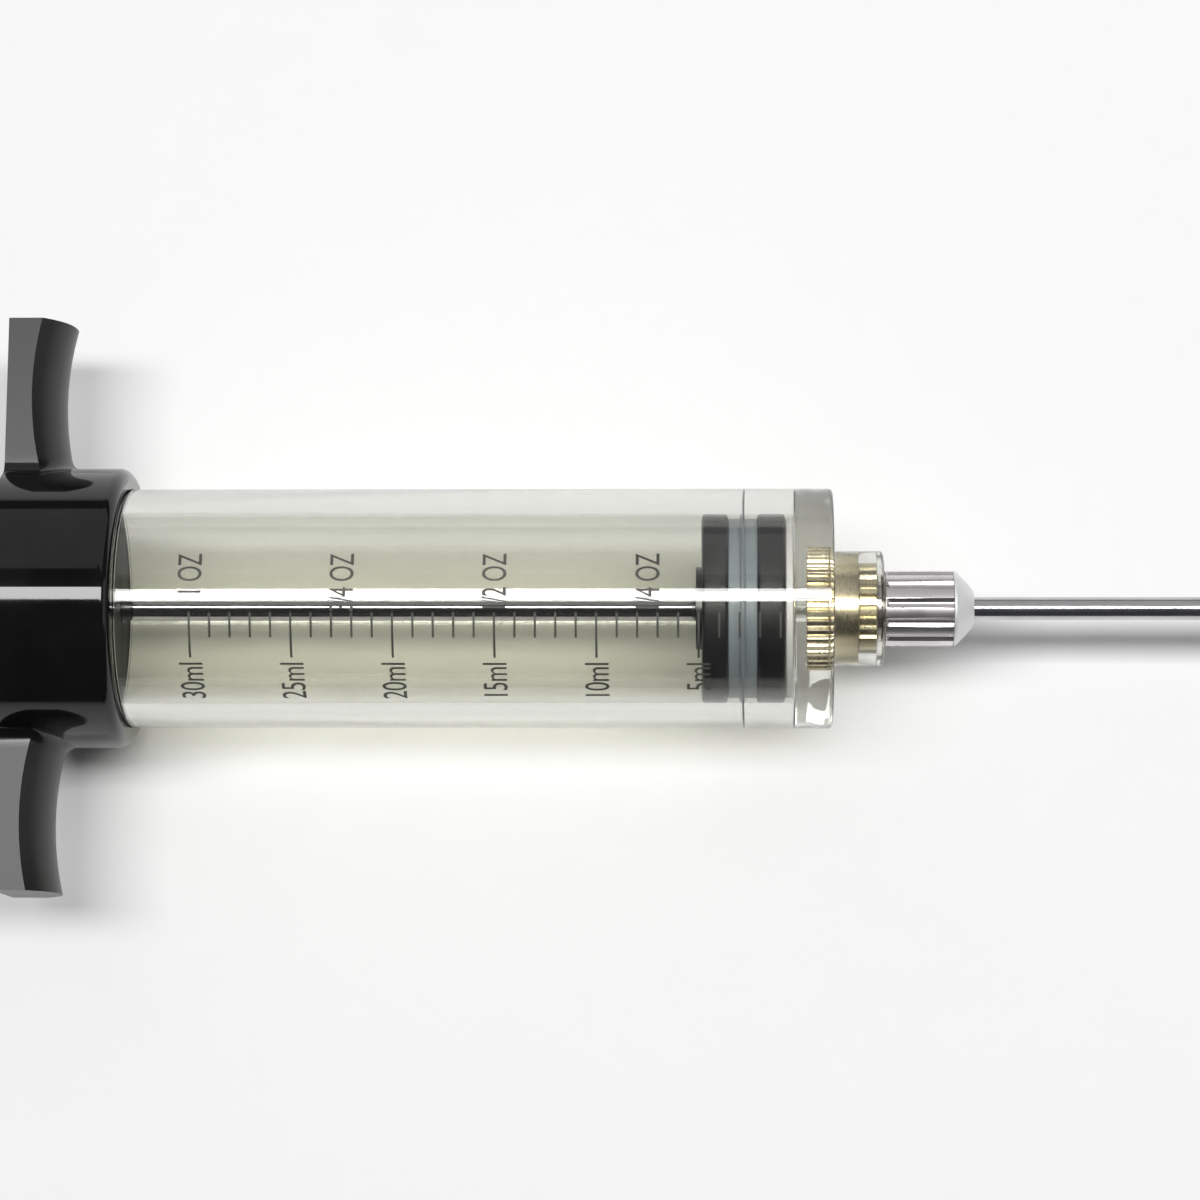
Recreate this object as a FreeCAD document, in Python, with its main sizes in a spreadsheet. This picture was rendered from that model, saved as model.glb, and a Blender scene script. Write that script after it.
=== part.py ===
"""Hand-held meat injector: a clear 30 ml barrel with a metal luer-lock needle and a finger-grip collar.

The axis of the barrel is X. The origin is on that axis at the outer face of the barrel's front wall.
+X points along the needle, the finger wings lie along +Y and -Y, and +Z is up with the injector lying flat.
All sizes are in millimetres. Stations along X are written as expressions on the Sizes sheet.
"""

import FreeCAD, Part
import math
import os
import Sketcher

Vector = FreeCAD.Vector

DRIVING_SIZES = [
    # alias, value, meaning
    ("running_gap", 0.05, "radial clearance between pieces that turn or slide"),
    ("bore_diameter", 23.0, "inside of the barrel"),
    ("barrel_wall", 3.0, "side wall of the barrel"),
    ("chamber_depth", 91.0, "barrel from the inner front face to the open rear end"),
    ("front_wall", 4.7, "front wall of the barrel"),
    ("barrel_edge", 0.5, "rounding of the barrel's front edges"),
    ("boss_wall", 1.45, "nose boss outside the insert's front knurled ring"),
    ("boss_length", 6.1, "nose boss ahead of the front wall"),
    ("mouth_lip", 0.9, "plastic ahead of the insert"),
    ("mouth_clearance", 0.2, "mouth radius beyond the lock bore"),
    ("insert_cover", 1.2, "plastic behind the insert"),
    ("rear_knurl_wall", 0.85, "rear knurled ring beyond the lock bore"),
    ("rear_knurl_length", 2.65, "rear knurled ring of the insert"),
    ("front_knurl_wall", 1.55, "front knurled ring beyond the lock bore"),
    ("front_knurl_length", 2.2, "front knurled ring of the insert"),
    ("insert_neck_wall", 0.4, "smooth neck beyond the lock bore"),
    ("knurl_depth", 0.25, "depth of a knurl groove"),
    ("knurl_width", 0.55, "width of a knurl groove"),
    ("lock_bore_diameter", 7.9, "luer-lock bore of the insert"),
    ("lock_bore_depth", 5.8, "luer-lock bore of the insert"),
    ("luer_length", 6.5, "male luer cone inside the lock bore"),
    ("luer_tip_diameter", 3.96, "male luer cone at its tip"),
    ("luer_taper", 0.06, "change of cone diameter per length"),
    ("port_diameter", 2.2, "flow port through the insert"),
    ("washer_thickness", 0.8, "sealing washer behind the needle hub"),
    ("lug_length", 1.2, "locking flange of the hub"),
    ("sleeve_diameter", 6.6, "hub between flange and shoulder"),
    ("shoulder_gap", 0.1, "from the boss to the hub's shoulder"),
    ("hub_diameter", 9.1, "fluted part of the hub"),
    ("hub_length", 8.3, "fluted part of the hub"),
    ("flute_diameter", 1.3, "cutter of a hub flute"),
    ("flute_depth", 0.32, "depth of a hub flute"),
    ("nose_length", 2.5, "tapered nose of the hub"),
    ("nose_diameter", 4.1, "tip of the hub's nose"),
    ("needle_diameter", 2.77, "needle tube"),
    ("lumen_diameter", 2.16, "inside of the needle tube"),
    ("needle_embed", 9.0, "needle tube inside the hub"),
    ("needle_length", 76.0, "needle tube ahead of the hub"),
    ("bevel_length", 8.0, "slanted tip of the needle"),
    ("piston_gap", 0.15, "from the front wall to the piston when fully home"),
    ("front_plate_thickness", 0.97, "piston front plate"),
    ("front_plate_inset", 0.7, "piston front plate inside the bore"),
    ("front_seal_thickness", 3.27, "front rubber seal"),
    ("spacer_thickness", 3.5, "translucent spacer"),
    ("spacer_inset", 0.65, "translucent spacer inside the bore"),
    ("spacer_ridge", 0.5, "width of the spacer's guide ridge"),
    ("rear_seal_thickness", 3.03, "rear rubber seal"),
    ("rear_plate_thickness", 0.72, "piston rear plate"),
    ("rear_plate_inset", 6.5, "piston rear plate inside the bore"),
    ("core_wall", 0.8, "plastic core outside the nut's recess"),
    ("core_overlap", 1.5, "how far each plate's core enters its seal"),
    ("rod_diameter", 3.0, "plunger rod"),
    ("spigot_diameter", 2.4, "reduced front end of the rod"),
    ("piston_nut_width", 5.0, "across the flats"),
    ("piston_nut_height", 1.7, "nut on the spigot"),
    ("nut_pocket_clearance", 0.32, "recess beyond the corners of the piston nut"),
    ("collar_wall", 2.45, "side wall of the grip collar"),
    ("thread_relief", 0.3, "barrel radius to the mean radius of the thread that holds the collar"),
    ("thread_run_out", 0.2, "thread that shows ahead of the grip collar"),
    ("collar_length", 14.9, "grip collar"),
    ("collar_end_wall", 2.0, "rear wall of the grip collar"),
    ("collar_front_round", 1.4, "front edge of the grip collar"),
    ("wing_span", 69.6, "tip to tip across the finger wings"),
    ("wing_thickness", 13.0, "height of a wing"),
    ("wing_waist", 6.1, "depth of a wing at its narrowest"),
    ("wing_nose", 3.05, "depth of the rounded front of a wing"),
    ("wing_curve_radius", 35.8, "hollow of the front of a wing"),
    ("wing_root_round", 1.8, "fillet between wing and collar"),
    ("plug_flange_thickness", 1.5, "rear plug flange"),
    ("plug_flange_gap", 0.35, "flange inside the collar"),
    ("gasket_thickness", 0.8, "gasket on the barrel's rear end"),
    ("ring_section", 1.6, "section of the plug's sealing ring"),
    ("ring_setback", 4.2, "from the plug's front to the sealing ring"),
    ("ring_groove_width", 2.0, "groove of the sealing ring"),
    ("bush_diameter", 6.5, "rod bush"),
    ("bush_length", 6.8, "rod bush"),
    ("bush_stand_out", 1.4, "rod bush behind the collar"),
    ("rod_seal_thickness", 1.6, "rubber rod seal ahead of the bush"),
    ("plug_rod_clearance", 0.4, "radial clearance of the plug around the rod"),
    ("lock_nut_wall", 1.25, "nut outside the rod, at its flats"),
    ("lock_nut_height", 2.4, "nut in front of the thumb handle"),
    ("handle_setback", 10.8, "from the collar to the lock nut when fully home"),
    ("handle_neck_diameter", 9.0, "stem of the thumb handle at the nut"),
    ("handle_root_diameter", 13.0, "stem of the thumb handle at the pad"),
    ("handle_stem_length", 9.0, "stem of the thumb handle"),
    ("handle_span", 44.0, "thumb pad along Y"),
    ("handle_width", 18.0, "thumb pad along Z"),
    ("handle_thickness", 6.0, "thumb pad along X"),
    ("handle_dish_radius", 75.0, "hollow of the thumb pad"),
    ("handle_dish_depth", 2.2, "hollow of the thumb pad"),
    ("handle_edge", 1.6, "rounding of the thumb pad"),
    ("insert_wall", 1.5, "threaded insert in the handle"),
    ("insert_length", 8.0, "threaded insert in the handle"),
]
REAR_KNURL_TEETH = 36
FRONT_KNURL_TEETH = 30
HUB_FLUTES = 12
MARGIN = 5.0  # how far a cutting sketch reaches past the solid it cuts

# Radii and stations along X, as expressions on the sheet.
BORE_R = "(Sizes.bore_diameter / 2)"
BARREL_R = "(Sizes.bore_diameter / 2 + Sizes.barrel_wall)"
PORT_R = "(Sizes.port_diameter / 2)"
LOCK_R = "(Sizes.lock_bore_diameter / 2)"
MOUTH_R = "(Sizes.lock_bore_diameter / 2 + Sizes.mouth_clearance)"
REAR_KNURL_R = "(Sizes.lock_bore_diameter / 2 + Sizes.rear_knurl_wall)"
FRONT_KNURL_R = "(Sizes.lock_bore_diameter / 2 + Sizes.front_knurl_wall)"
NECK_R = "(Sizes.lock_bore_diameter / 2 + Sizes.insert_neck_wall)"
BOSS_R = "(Sizes.lock_bore_diameter / 2 + Sizes.front_knurl_wall + Sizes.boss_wall)"
LUER_TIP_R = "(Sizes.luer_tip_diameter / 2)"
LUER_ROOT_R = "(Sizes.luer_tip_diameter / 2 + Sizes.luer_length * Sizes.luer_taper / 2)"
SLIDING_R = "(Sizes.bore_diameter / 2 - Sizes.running_gap)"
NUT_POCKET_R = "(Sizes.piston_nut_width / sqrt(3) + Sizes.nut_pocket_clearance)"
CORE_R = "(Sizes.piston_nut_width / sqrt(3) + Sizes.nut_pocket_clearance + Sizes.core_wall)"
ROD_R = "(Sizes.rod_diameter / 2)"
ROD_BORE_R = "(Sizes.rod_diameter / 2 + Sizes.running_gap)"
SPIGOT_BORE_R = "(Sizes.spigot_diameter / 2 + Sizes.running_gap)"
LOCK_NUT_WIDTH = "(Sizes.rod_diameter + 2 * Sizes.lock_nut_wall)"
COLLAR_BORE_R = "(Sizes.bore_diameter / 2 + Sizes.barrel_wall + Sizes.running_gap)"
COLLAR_R = f"({COLLAR_BORE_R} + Sizes.collar_wall)"
HANDLE_INSERT_R = "(Sizes.rod_diameter / 2 + Sizes.insert_wall)"
BUSH_R = "(Sizes.bush_diameter / 2)"
NEEDLE_R = "(Sizes.needle_diameter / 2)"
HUB_R = "(Sizes.hub_diameter / 2)"

CHAMBER_FRONT = "(-Sizes.front_wall)"
BARREL_REAR = "(-Sizes.front_wall - Sizes.chamber_depth)"
INSERT_REAR = "(Sizes.insert_cover - Sizes.front_wall)"
INSERT_FRONT = "(Sizes.boss_length - Sizes.mouth_lip)"
INSERT_LENGTH = "(Sizes.boss_length - Sizes.mouth_lip + Sizes.front_wall - Sizes.insert_cover)"
LOCK_FLOOR = "(Sizes.boss_length - Sizes.mouth_lip - Sizes.lock_bore_depth)"
HUB_REAR = "(Sizes.boss_length - Sizes.mouth_lip - Sizes.lock_bore_depth + Sizes.washer_thickness)"
HUB_SHOULDER = (
    "(Sizes.lock_bore_depth + Sizes.mouth_lip + Sizes.shoulder_gap - Sizes.washer_thickness)"
)
HUB_FRONT = f"({HUB_SHOULDER} + Sizes.hub_length + Sizes.nose_length)"
PISTON_FRONT = "(-Sizes.front_wall - Sizes.piston_gap)"
FRONT_SEAL_FRONT = f"({PISTON_FRONT} - Sizes.front_plate_thickness)"
SPACER_FRONT = f"({FRONT_SEAL_FRONT} - Sizes.front_seal_thickness)"
REAR_SEAL_FRONT = f"({SPACER_FRONT} - Sizes.spacer_thickness)"
REAR_SEAL_REAR = f"({REAR_SEAL_FRONT} - Sizes.rear_seal_thickness)"
PISTON_REAR = f"({REAR_SEAL_REAR} - Sizes.rear_plate_thickness)"
GASKET_REAR = f"({BARREL_REAR} - Sizes.gasket_thickness)"
PLUG_REAR = f"({GASKET_REAR} - Sizes.plug_flange_thickness)"
COLLAR_REAR = f"({PLUG_REAR} - Sizes.collar_end_wall)"
THREAD_R = f"({BARREL_R} - Sizes.thread_relief)"
THREAD_FRONT = f"({COLLAR_REAR} + Sizes.collar_length + Sizes.thread_run_out)"
PLUG_LENGTH = "(Sizes.collar_length - Sizes.collar_end_wall)"
BUSH_REAR = f"({COLLAR_REAR} - Sizes.bush_stand_out)"
SEAL_REAR = f"({BUSH_REAR} + Sizes.bush_length)"
NUT_FRONT = f"({COLLAR_REAR} - Sizes.handle_setback)"
HANDLE_FRONT = f"({NUT_FRONT} - Sizes.lock_nut_height)"
HANDLE_LENGTH = "(Sizes.handle_stem_length + Sizes.handle_thickness)"
ROD_REAR = f"({HANDLE_FRONT} - Sizes.insert_length)"

document = FreeCAD.newDocument("meat_injector")
sheet = document.addObject("Spreadsheet::Sheet", "Sizes")
for row, (alias, number, meaning) in enumerate(DRIVING_SIZES, start=1):
    sheet.set(f"A{row}", meaning)
    sheet.set(f"B{row}", str(number))
    sheet.setAlias(f"B{row}", alias)
document.recompute()

sub_parts = []


def value(expression):
    """The present value of an expression on the sheet, in millimetres or degrees."""
    result = sheet.evalExpression(expression)
    return float(getattr(result, "Value", result))


def new_body(label, station="0"):
    """An empty body whose own origin stands at the station on the axis."""
    body = document.addObject("PartDesign::Body", label)
    body.Label = label
    body.setExpression("Placement.Base.x", station)
    sub_parts.append(body)
    return body


def origin_feature(body, role):
    """A plane or an axis of the body's own origin."""
    return next(item for item in body.Origin.OriginFeatures if item.Role == role)


def new_sketch(body, name, plane, offset=None):
    """A sketch on one of the body's origin planes, moved along the plane's normal by an expression."""
    sketch = body.newObject("Sketcher::SketchObject", f"{body.Name}_{name}")
    sketch.AttachmentSupport = [(origin_feature(body, plane), "")]
    sketch.MapMode = "FlatFace"
    if offset:
        sketch.setExpression("AttachmentOffset.Base.z", offset)
    return sketch


def draw_polygon(sketch, corners):
    """Closes a polygon whose corners are pairs of expressions, and binds every corner to them."""
    first = sketch.GeometryCount
    points = [Vector(value(across), value(up), 0) for across, up in corners]
    for start, end in zip(points, points[1:] + points[:1]):
        sketch.addGeometry(Part.LineSegment(start, end))
    for index, (across, up) in enumerate(corners):
        following = (index + 1) % len(corners)
        sketch.addConstraint(Sketcher.Constraint("Coincident", first + index, 2, first + following, 1))
        for kind, expression in (("DistanceX", across), ("DistanceY", up)):
            number = sketch.addConstraint(
                Sketcher.Constraint(kind, -1, 1, first + index, 1, value(expression))
            )
            sketch.setExpression(f"Constraints[{number}]", expression)


def draw_circle(sketch, across, up, radius):
    """A circle whose centre and radius are expressions."""
    centre = Vector(value(across), value(up), 0)
    circle = sketch.addGeometry(Part.Circle(centre, Vector(0, 0, 1), value(radius)))
    constraints = (
        (Sketcher.Constraint("DistanceX", -1, 1, circle, 3, centre.x), across),
        (Sketcher.Constraint("DistanceY", -1, 1, circle, 3, centre.y), up),
        (Sketcher.Constraint("Radius", circle, value(radius)), radius),
    )
    for constraint, expression in constraints:
        number = sketch.addConstraint(constraint)
        sketch.setExpression(f"Constraints[{number}]", expression)


def turn(body, name, corners, kind="PartDesign::Revolution"):
    """Turns a profile of (station, radius) corners about the body's X axis."""
    sketch = new_sketch(body, f"{name}_profile", "XZ_Plane")
    draw_polygon(sketch, corners)
    feature = body.newObject(kind, f"{body.Name}_{name}")
    feature.Profile = sketch
    feature.ReferenceAxis = (sketch, ["H_Axis"])
    feature.Angle = 360
    return feature


def cut(body, sketch, name, length=None, reversed_way=False):
    """Pockets the sketch, through all both ways or by a length, and checks that it removed something."""
    document.recompute()
    before = body.Shape.Volume
    pocket = body.newObject("PartDesign::Pocket", f"{body.Name}_{name}")
    pocket.Profile = sketch
    if length:
        pocket.setExpression("Length", length)
        pocket.Reversed = reversed_way
    else:
        pocket.SideType = "Symmetric"
        pocket.Type = "ThroughAll"
    document.recompute()
    if not body.Shape.Volume < before - 1e-6:
        raise RuntimeError(f"{pocket.Name} cuts nothing")
    return pocket


def repeat_round(body, feature, count):
    """Repeats a feature evenly about the body's X axis."""
    pattern = body.newObject("PartDesign::PolarPattern", f"{feature.Name}_pattern")
    pattern.Originals = [feature]
    pattern.Axis = (origin_feature(body, "X_Axis"), [""])
    pattern.Angle = 360
    pattern.Occurrences = count
    body.Tip = pattern
    document.recompute()
    return pattern


def round_edges(body, name, radius, wanted):
    """Rounds every edge for which wanted(edge) is true."""
    document.recompute()
    base = body.Tip
    edges = enumerate(base.Shape.Edges, start=1)
    names = [f"Edge{index}" for index, edge in edges if wanted(edge)]
    if not names:
        raise RuntimeError(f"{body.Name} has no edge for {name}")
    fillet = body.newObject("PartDesign::Fillet", f"{body.Name}_{name}")
    fillet.Base = (base, names)
    fillet.setExpression("Radius", radius)
    document.recompute()
    return fillet


def ring_at(station, radius):
    """A test for a full circular edge about X, at a station and radius given as expressions."""
    place, size = value(station), value(radius)

    def matches(edge):
        """True for the circle itself."""
        curve = edge.Curve
        return (
            isinstance(curve, Part.Circle)
            and abs(curve.Radius - size) < 1e-4
            and abs(curve.Center.x - place) < 1e-4
        )

    return matches


def ring(label, station, thickness, inner, outer):
    """A plain ring with its rear face at the station."""
    body = new_body(label, station)
    turn(body, "ring", [("0", inner), (thickness, inner), (thickness, outer), ("0", outer)])
    return body


def hexagon_nut(label, station, width, height, hole_radius):
    """A hexagon nut about X with its rear face at the station and its hole along the axis."""
    body = new_body(label, station)
    sketch = new_sketch(body, "outline", "YZ_Plane")
    corner_radius = f"({width} / sqrt(3))"
    corners = [
        (f"{corner_radius} * cos({60 * step})", f"{corner_radius} * sin({60 * step})")
        for step in range(6)
    ]
    draw_polygon(sketch, corners)
    draw_circle(sketch, "0", "0", hole_radius)
    pad = body.newObject("PartDesign::Pad", f"{label}_pad")
    pad.Profile = sketch
    pad.setExpression("Length", height)
    chamfer = f"({corner_radius} - {width} / 2)"
    turn(
        body,
        "corners",
        [
            (height, f"{width} / 2"),
            (height, f"{corner_radius} + 1"),
            (f"{height} - {chamfer} * 0.6 - 0.6", f"{corner_radius} + 1"),
        ],
        "PartDesign::Groove",
    )
    return body


def build_barrel():
    """Clear barrel with the front wall, the nose boss and the cavity that holds the luer insert."""
    body = new_body("barrel")
    neck_front = "(Sizes.boss_length - Sizes.mouth_lip - Sizes.front_knurl_length)"
    neck_rear = f"({INSERT_REAR} + Sizes.rear_knurl_length)"
    turn(
        body,
        "tube",
        [
            (BARREL_REAR, BORE_R),
            (BARREL_REAR, THREAD_R),
            (THREAD_FRONT, THREAD_R),
            (THREAD_FRONT, BARREL_R),
            ("0", BARREL_R),
            ("0", BOSS_R),
            ("Sizes.boss_length", BOSS_R),
            ("Sizes.boss_length", MOUTH_R),
            (INSERT_FRONT, MOUTH_R),
            (INSERT_FRONT, FRONT_KNURL_R),
            (neck_front, FRONT_KNURL_R),
            (neck_front, NECK_R),
            (neck_rear, NECK_R),
            (neck_rear, REAR_KNURL_R),
            (INSERT_REAR, REAR_KNURL_R),
            (INSERT_REAR, PORT_R),
            (CHAMBER_FRONT, PORT_R),
            (CHAMBER_FRONT, BORE_R),
        ],
    )
    edges = (ring_at("0", BARREL_R), ring_at("Sizes.boss_length", BOSS_R))
    round_edges(body, "edges", "Sizes.barrel_edge", lambda edge: any(test(edge) for test in edges))


def cut_knurl(body, name, offset, radius, length, teeth):
    """Cuts one V groove along X in a ring of the insert and repeats it round the ring."""
    sketch = new_sketch(body, f"{name}_groove", "YZ_Plane", offset)
    floor = f"({radius} - Sizes.knurl_depth)"
    rim = f"({radius} + Sizes.knurl_depth)"
    draw_polygon(
        sketch,
        [("0", floor), ("Sizes.knurl_width", rim), ("-Sizes.knurl_width", rim)],
    )
    groove = cut(body, sketch, name, length, reversed_way=True)
    repeat_round(body, groove, teeth)


def build_luer_insert():
    """Brass insert: two knurled rings and a neck outside, luer-lock bore and male cone inside."""
    body = new_body("luer_insert", INSERT_REAR)
    floor = f"({INSERT_LENGTH} - Sizes.lock_bore_depth)"
    neck_front = f"({INSERT_LENGTH} - Sizes.front_knurl_length)"
    cone_tip = f"({floor} + Sizes.luer_length)"
    turn(
        body,
        "core",
        [
            ("0", PORT_R),
            ("0", REAR_KNURL_R),
            ("Sizes.rear_knurl_length", REAR_KNURL_R),
            ("Sizes.rear_knurl_length", NECK_R),
            (neck_front, NECK_R),
            (neck_front, FRONT_KNURL_R),
            (INSERT_LENGTH, FRONT_KNURL_R),
            (INSERT_LENGTH, LOCK_R),
            (floor, LOCK_R),
            (floor, LUER_ROOT_R),
            (cone_tip, LUER_TIP_R),
            (cone_tip, PORT_R),
        ],
    )
    cut_knurl(body, "rear_knurl", "0", REAR_KNURL_R, "Sizes.rear_knurl_length", REAR_KNURL_TEETH)
    cut_knurl(
        body, "front_knurl", neck_front, FRONT_KNURL_R, "Sizes.front_knurl_length", FRONT_KNURL_TEETH
    )


def build_needle():
    """Sealing washer, fluted hub with its luer socket, and the needle tube with a slanted tip."""
    ring(
        "needle_washer",
        LOCK_FLOOR,
        "Sizes.washer_thickness",
        f"({LUER_ROOT_R} + Sizes.running_gap)",
        f"({LOCK_R} - Sizes.running_gap)",
    )

    hub = new_body("needle_hub", HUB_REAR)
    socket_depth = "(Sizes.luer_length - Sizes.washer_thickness + Sizes.mouth_lip / 2)"
    mouth = f"({LUER_ROOT_R} + Sizes.running_gap - Sizes.washer_thickness * Sizes.luer_taper / 2)"
    bottom = f"({mouth} - {socket_depth} * Sizes.luer_taper / 2)"
    lug_radius = f"({LOCK_R} - Sizes.running_gap)"
    sleeve_radius = "(Sizes.sleeve_diameter / 2)"
    nose_start = f"({HUB_SHOULDER} + Sizes.hub_length)"
    nose_middle = f"({nose_start} + Sizes.nose_length * 0.7)"
    nose_middle_radius = f"({HUB_R} * 0.35 + Sizes.nose_diameter * 0.325)"
    tube_rear = f"({HUB_FRONT} - Sizes.needle_embed)"
    turn(
        hub,
        "core",
        [
            ("0", mouth),
            ("0", lug_radius),
            ("Sizes.lug_length", lug_radius),
            ("Sizes.lug_length", sleeve_radius),
            (HUB_SHOULDER, sleeve_radius),
            (HUB_SHOULDER, HUB_R),
            (nose_start, HUB_R),
            (nose_middle, nose_middle_radius),
            (HUB_FRONT, "(Sizes.nose_diameter / 2)"),
            (HUB_FRONT, NEEDLE_R),
            (tube_rear, NEEDLE_R),
            (tube_rear, "(Sizes.lumen_diameter / 2)"),
            (socket_depth, "(Sizes.lumen_diameter / 2)"),
            (socket_depth, bottom),
        ],
    )
    sketch = new_sketch(hub, "flute_outline", "YZ_Plane", HUB_SHOULDER)
    cutter = "(Sizes.flute_diameter / 2)"
    draw_circle(sketch, "0", f"({HUB_R} + {cutter} - Sizes.flute_depth)", cutter)
    flute = cut(hub, sketch, "flute", "Sizes.hub_length", reversed_way=True)
    repeat_round(hub, flute, HUB_FLUTES)

    tube = new_body("needle_tube", f"({HUB_REAR} + {tube_rear})")
    length = "(Sizes.needle_embed + Sizes.needle_length)"
    section = new_sketch(tube, "section", "YZ_Plane")
    draw_circle(section, "0", "0", NEEDLE_R)
    draw_circle(section, "0", "0", "(Sizes.lumen_diameter / 2)")
    pad = tube.newObject("PartDesign::Pad", "needle_tube_pad")
    pad.Profile = section
    pad.setExpression("Length", length)
    bevel = new_sketch(tube, "bevel_outline", "XZ_Plane")
    draw_polygon(
        bevel,
        [
            (length, f"(-{NEEDLE_R})"),
            (f"({length} + Sizes.needle_diameter)", f"(-{NEEDLE_R})"),
            (f"({length} + Sizes.needle_diameter)", "(Sizes.needle_diameter * 1.5)"),
            (f"({length} - Sizes.bevel_length * 2)", "(Sizes.needle_diameter * 1.5)"),
        ],
    )
    cut(tube, bevel, "bevel")


def build_piston():
    """Piston stack on the rod's spigot: front plate, two rubber seals, spacer and rear plate."""
    plate = new_body("piston_front_plate", f"({FRONT_SEAL_FRONT} - Sizes.core_overlap)")
    face = "(Sizes.core_overlap + Sizes.front_plate_thickness)"
    pocket_floor = f"({face} - Sizes.piston_nut_height)"
    rim_radius = f"({BORE_R} - Sizes.front_plate_inset)"
    turn(
        plate,
        "plate",
        [
            ("0", SPIGOT_BORE_R),
            ("0", CORE_R),
            ("Sizes.core_overlap", CORE_R),
            ("Sizes.core_overlap", rim_radius),
            (face, rim_radius),
            (face, NUT_POCKET_R),
            (pocket_floor, NUT_POCKET_R),
            (pocket_floor, SPIGOT_BORE_R),
        ],
    )
    ring("piston_seal_front", SPACER_FRONT, "Sizes.front_seal_thickness", CORE_R, SLIDING_R)

    spacer = new_body("piston_spacer", f"({REAR_SEAL_FRONT} - Sizes.core_overlap)")
    front = "(Sizes.core_overlap + Sizes.spacer_thickness)"
    core_front = f"({front} + Sizes.front_seal_thickness - Sizes.core_overlap)"
    ridge_rear = "(Sizes.core_overlap + Sizes.spacer_thickness / 2 - Sizes.spacer_ridge / 2)"
    ridge_front = f"({ridge_rear} + Sizes.spacer_ridge)"
    spacer_radius = f"({BORE_R} - Sizes.spacer_inset)"
    turn(
        spacer,
        "spacer",
        [
            ("0", SPIGOT_BORE_R),
            ("0", CORE_R),
            ("Sizes.core_overlap", CORE_R),
            ("Sizes.core_overlap", spacer_radius),
            (ridge_rear, spacer_radius),
            (ridge_rear, SLIDING_R),
            (ridge_front, SLIDING_R),
            (ridge_front, spacer_radius),
            (front, spacer_radius),
            (front, CORE_R),
            (core_front, CORE_R),
            (core_front, SPIGOT_BORE_R),
        ],
    )
    ring("piston_seal_rear", REAR_SEAL_REAR, "Sizes.rear_seal_thickness", CORE_R, SLIDING_R)

    rear = new_body("piston_rear_plate", PISTON_REAR)
    rear_radius = f"({BORE_R} - Sizes.rear_plate_inset)"
    core_end = (
        "(Sizes.rear_plate_thickness + Sizes.rear_seal_thickness - Sizes.core_overlap)"
    )
    turn(
        rear,
        "plate",
        [
            ("0", SPIGOT_BORE_R),
            ("0", rear_radius),
            ("Sizes.rear_plate_thickness", rear_radius),
            ("Sizes.rear_plate_thickness", CORE_R),
            (core_end, CORE_R),
            (core_end, SPIGOT_BORE_R),
        ],
    )


def build_rod():
    """Plunger rod with its front spigot, the piston nut and the nut that locks the handle."""
    rod = new_body("plunger_rod", ROD_REAR)
    shoulder = f"({PISTON_REAR} - {ROD_REAR})"
    tip = f"({PISTON_FRONT} - {ROD_REAR})"
    spigot = "(Sizes.spigot_diameter / 2)"
    turn(
        rod,
        "rod",
        [("0", "0"), ("0", ROD_R), (shoulder, ROD_R), (shoulder, spigot), (tip, spigot), (tip, "0")],
    )
    hexagon_nut(
        "piston_nut",
        f"({PISTON_FRONT} - Sizes.piston_nut_height)",
        "Sizes.piston_nut_width",
        "Sizes.piston_nut_height",
        spigot,
    )
    hexagon_nut(
        "handle_lock_nut", HANDLE_FRONT, LOCK_NUT_WIDTH, "Sizes.lock_nut_height", ROD_R
    )


def build_rear_closure():
    """Plug, sealing ring and gasket that close the barrel, with the rod's seal and bush."""
    plug = new_body("rear_plug", PLUG_REAR)
    flange_radius = f"({COLLAR_BORE_R} - Sizes.plug_flange_gap)"
    pocket_floor = f"({SEAL_REAR} + Sizes.rod_seal_thickness - {PLUG_REAR})"
    rod_hole = f"({ROD_R} + Sizes.plug_rod_clearance)"
    groove_middle = f"({PLUG_LENGTH} - Sizes.ring_setback)"
    groove_rear = f"({groove_middle} - Sizes.ring_groove_width / 2)"
    groove_front = f"({groove_middle} + Sizes.ring_groove_width / 2)"
    groove_floor = f"({SLIDING_R} - Sizes.ring_section)"
    turn(
        plug,
        "plug",
        [
            ("0", BUSH_R),
            ("0", flange_radius),
            ("Sizes.plug_flange_thickness", flange_radius),
            ("Sizes.plug_flange_thickness", SLIDING_R),
            (groove_rear, SLIDING_R),
            (groove_rear, groove_floor),
            (groove_front, groove_floor),
            (groove_front, SLIDING_R),
            (PLUG_LENGTH, SLIDING_R),
            (PLUG_LENGTH, rod_hole),
            (pocket_floor, rod_hole),
            (pocket_floor, BUSH_R),
        ],
    )

    seal = document.addObject("Part::Torus", "plug_o_ring")
    seal.Label = "plug_o_ring"
    seal.Placement = FreeCAD.Placement(Vector(), FreeCAD.Rotation(Vector(0, 1, 0), 90))
    seal.setExpression("Radius1", f"{SLIDING_R} - Sizes.ring_section / 2")
    seal.setExpression("Radius2", "Sizes.ring_section / 2")
    seal.setExpression("Placement.Base.x", f"{PLUG_REAR} + {groove_middle}")
    sub_parts.append(seal)

    ring(
        "barrel_gasket",
        GASKET_REAR,
        "Sizes.gasket_thickness",
        BORE_R,
        flange_radius,
    )
    ring("rod_seal", SEAL_REAR, "Sizes.rod_seal_thickness", ROD_BORE_R, BUSH_R)
    ring("rod_bush", BUSH_REAR, "Sizes.bush_length", ROD_BORE_R, BUSH_R)


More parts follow.
